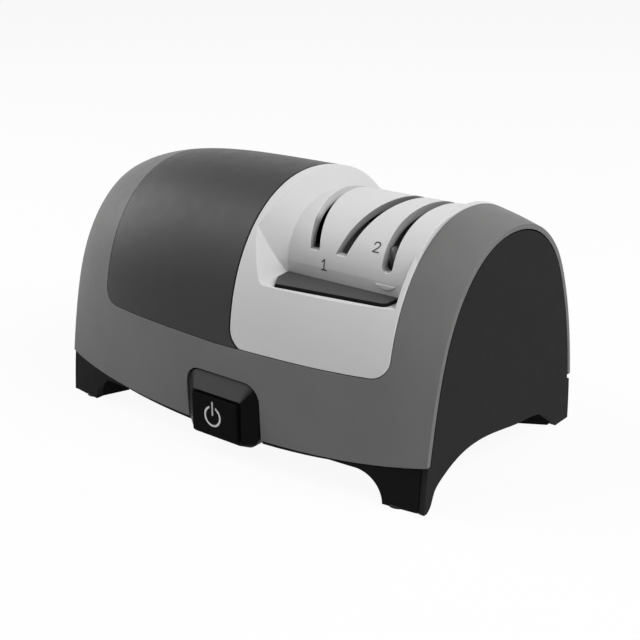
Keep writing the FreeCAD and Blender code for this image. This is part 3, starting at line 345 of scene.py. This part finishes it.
def metal(name, colour, roughness, brushed=(1.0, 1.0, 1.0), bevel=0.25):
    """Turned or rolled metal: fine lines, uneven gloss, and brighter edges."""
    made, tree, shader = new_material(name)
    place = tree.nodes.new("ShaderNodeTexCoord").outputs["Object"]
    stretched = add(tree, "ShaderNodeMapping", Vector=place, Scale=brushed).outputs["Vector"]
    rounded = add(tree, "ShaderNodeBevel", samples=4, Radius=bevel * MM).outputs["Normal"]
    lines = noise(tree, stretched, 900.0, 4.0, 0.6)
    stain = noise(tree, place, 90.0, 4.0, 0.6)
    edges = edge_mask(tree, rounded, 0.3)
    level = math_node(tree, "ADD", spread(tree, stain, 0.3, 0.7, 0.88, 1.05),
                      math_node(tree, "MULTIPLY", edges, 0.25))
    tree.links.new(scaled(tree, colour, level), shader.inputs["Base Color"])
    tree.links.new(spread(tree, lines, 0.3, 0.7, roughness - 0.08, roughness + 0.1),
                   shader.inputs["Roughness"])
    bump = add(tree, "ShaderNodeBump", Strength=0.2, Distance=0.03 * MM, Height=lines,
               Normal=rounded)
    tree.links.new(bump.outputs["Normal"], shader.inputs["Normal"])
    shader.inputs["Metallic"].default_value = 1.0
    return made


def grit(name, colour, dark, scale, roughness=0.85):
    """Bonded abrasive or ceramic: speckled grains that stand out a little."""
    made, tree, shader = new_material(name)
    place = tree.nodes.new("ShaderNodeTexCoord").outputs["Object"]
    grains = add(tree, "ShaderNodeTexVoronoi", Vector=place, Scale=scale)
    cloud = noise(tree, place, scale * 0.16, 4.0, 0.65)
    speck = spread(tree, grains.outputs["Distance"], 0.15, 0.55, 1.0, 0.0)
    patch = spread(tree, cloud, 0.42, 0.62, 0.0, 1.0)
    mixed = blend_colour(tree, math_node(tree, "MULTIPLY", speck, patch), colour, dark)
    tree.links.new(mixed, shader.inputs["Base Color"])
    tree.links.new(spread(tree, cloud, 0.3, 0.7, roughness - 0.12, roughness + 0.1),
                   shader.inputs["Roughness"])
    bump = add(tree, "ShaderNodeBump", Strength=0.6, Distance=0.12 * MM,
               Height=grains.outputs["Distance"])
    tree.links.new(bump.outputs["Normal"], shader.inputs["Normal"])
    return made


def winding(name, colour):
    """Enamelled wire laid in fine turns along the axis."""
    made, tree, shader = new_material(name)
    place = tree.nodes.new("ShaderNodeTexCoord").outputs["Object"]
    turns = add(tree, "ShaderNodeTexWave", Vector=place, Scale=900.0, Distortion=1.5,
                Detail=2.0)
    cloud = noise(tree, place, 120.0)
    level = math_node(tree, "MULTIPLY", spread(tree, turns.outputs["Fac"], 0.0, 1.0, 0.45, 1.1),
                      spread(tree, cloud, 0.3, 0.7, 0.85, 1.1))
    tree.links.new(scaled(tree, colour, level), shader.inputs["Base Color"])
    tree.links.new(spread(tree, cloud, 0.3, 0.7, 0.3, 0.42), shader.inputs["Roughness"])
    bump = add(tree, "ShaderNodeBump", Strength=0.8, Distance=0.2 * MM,
               Height=turns.outputs["Fac"])
    tree.links.new(bump.outputs["Normal"], shader.inputs["Normal"])
    shader.inputs["Metallic"].default_value = 0.85
    return made


def grey(level, warmth=0.0):
    """Linear grey of that level, a little warm or cool."""
    return (level * (1 + warmth), level, level * (1 - warmth))


# Finish of each material slot of the record
FINISHES = {
    # Shell: its strongly lightened edges are partly a painted highlight along the rims.
    "shell_grey": plastic("shell_grey", grey(0.145, 0.008), 0.5, 0.13, wear_and_edge_highlight=1.3),
    "cover_charcoal": plastic("cover_charcoal", grey(0.027), 0.46, 0.2, wear_and_edge_highlight=0.9),
    "panel_charcoal": plastic("panel_charcoal", grey(0.022), 0.55, 0.015, grain=0.4, wear_and_edge_highlight=0.5),
    "base_black": plastic("base_black", grey(0.0055), 0.55, 0.045, grain=0.4, wear_and_edge_highlight=0.6),
    # Painted highlight: the bezel's upward faces are painted far lighter than its near-black sides.
    "bezel_black": plastic("bezel_black", grey(0.12), 0.36, 0.04, wear_and_edge_highlight=0.3,
                           painted_light_by_facing=0.028),
    "key_black": plastic("key_black", grey(0.0035), 0.45, 0.02, wear_and_edge_highlight=0.8, ink=power_sign,
                         ink_colour=grey(0.62)),
    # Head: its lightened edges are partly a painted highlight along the slots' rims.
    "head_light_grey": plastic("head_light_grey", grey(0.6), 0.5, 0.08, grain=0.12, bevel=0.7,
                               wear_and_edge_highlight=0.55, mottle=0.012, ink=stage_numbers,
                               # painted shade on the walls of the slots, deepest down in them
                               ink_colour=grey(0.06), shadow=painted_slot_shade),
    # Painted shade: the bar's sides are painted much darker than its top.
    "magnet_grey": plastic("magnet_grey", grey(0.06), 0.5, 0.08, grain=0.5, wear_and_edge_highlight=0.5,
                           painted_light_by_facing=0.1),
    "rubber_black": plastic("rubber_black", grey(0.012), 0.85, 0.3, grain=0.6, wear_and_edge_highlight=0.2),
    "steel": metal("steel", (0.56, 0.56, 0.57), 0.32, (1.0, 0.2, 0.2)),
    "plated_can": metal("plated_can", (0.62, 0.61, 0.57), 0.38, (0.15, 1.0, 1.0)),
    "sintered_bronze": metal("sintered_bronze", (0.55, 0.36, 0.17), 0.5),
    "copper_winding": winding("copper_winding", (0.62, 0.25, 0.09)),
    "magnet_ferrite": plastic("magnet_ferrite", grey(0.03), 0.7, 0.3, grain=0.6),
    "lamination": metal("lamination", (0.3, 0.3, 0.31), 0.5, (14.0, 0.1, 0.1)),
    "inner_plastic": plastic("inner_plastic", grey(0.05), 0.6, 0.3),
    "abrasive": grit("abrasive", grey(0.24), grey(0.05), 2600.0),
    "ceramic": grit("ceramic", grey(0.42, 0.02), grey(0.03), 900.0, 0.6),
    "board_green": plastic("board_green", (0.02, 0.12, 0.05), 0.4, 0.5),
    "component_black": plastic("component_black", grey(0.015), 0.45, 0.4),
}


def dress_nodes():
    """Each node of the frame gets the finish of its slot in the record."""
    for part in frame["record"]["subparts"]:
        mesh = NODES[part["node"]].data
        mesh.materials.clear()
        mesh.materials.append(FINISHES[part["material_slot"]])


# Studio

def light_path_white(tree):
    """1 for rays that see the background by eye, in a gloss or through glass."""
    path = tree.nodes.new("ShaderNodeLightPath")
    seen = math_node(tree, "MAXIMUM", path.outputs["Is Camera Ray"],
                     path.outputs["Is Transmission Ray"])
    return math_node(tree, "MAXIMUM", seen, path.outputs["Is Glossy Ray"])


def make_floor():
    """A plain floor that looks nearly white by eye and keeps the object's shadow."""
    reach = FLOOR_REACH
    mesh = bpy.data.meshes.new("floor")
    corners = [(-reach, -reach, 0), (reach, -reach, 0), (reach, reach, 0), (-reach, reach, 0)]
    mesh.from_pydata(corners, [], [(0, 1, 2, 3)])
    floor = bpy.data.objects.new("floor", mesh)
    scene.collection.objects.link(floor)
    made = bpy.data.materials.new("floor")
    made.use_nodes = True
    tree = made.node_tree
    tree.nodes.clear()
    paper = add(tree, "ShaderNodeBsdfDiffuse", Color=(*grey(FLOOR_COLOUR), 1.0))
    glow = add(tree, "ShaderNodeEmission", Color=(1.0, 1.0, 1.0, 1.0), Strength=1.0)
    share = math_node(tree, "MULTIPLY", light_path_white(tree), FLOOR_WHITE)
    mixed = tree.nodes.new("ShaderNodeMixShader")
    output = tree.nodes.new("ShaderNodeOutputMaterial")
    tree.links.new(share, mixed.inputs[0])
    tree.links.new(paper.outputs[0], mixed.inputs[1])
    tree.links.new(glow.outputs[0], mixed.inputs[2])
    tree.links.new(mixed.outputs[0], output.inputs["Surface"])
    mesh.materials.append(made)


def make_world():
    """A dim even room that looks white by eye."""
    world = bpy.data.worlds.new("studio")
    scene.world = world
    world.use_nodes = True
    tree = world.node_tree
    tree.nodes.clear()
    room = add(tree, "ShaderNodeBackground", Color=(1.0, 1.0, 1.0, 1.0), Strength=AMBIENT)
    white = add(tree, "ShaderNodeBackground", Color=(1.0, 1.0, 1.0, 1.0), Strength=1.0)
    mixed = tree.nodes.new("ShaderNodeMixShader")
    output = tree.nodes.new("ShaderNodeOutputWorld")
    tree.links.new(light_path_white(tree), mixed.inputs[0])
    tree.links.new(room.outputs[0], mixed.inputs[1])
    tree.links.new(white.outputs[0], mixed.inputs[2])
    tree.links.new(mixed.outputs[0], output.inputs["Surface"])


def softbox(name, azimuth, elevation, distance, width, watts):
    """A square lamp that looks at the aim."""
    light = bpy.data.lights.new(name, "AREA")
    light.shape = "SQUARE"
    light.size = width
    light.energy = watts
    lamp = bpy.data.objects.new(name, light)
    back = heading(azimuth, elevation)
    lamp.location = back * distance + LAMP_AIM
    lamp.rotation_euler = (-back).to_track_quat("-Z", "Y").to_euler()
    scene.collection.objects.link(lamp)


make_camera()
dress_nodes()
make_floor()
make_world()
for lamp_row in LAMPS:
    softbox(*lamp_row)
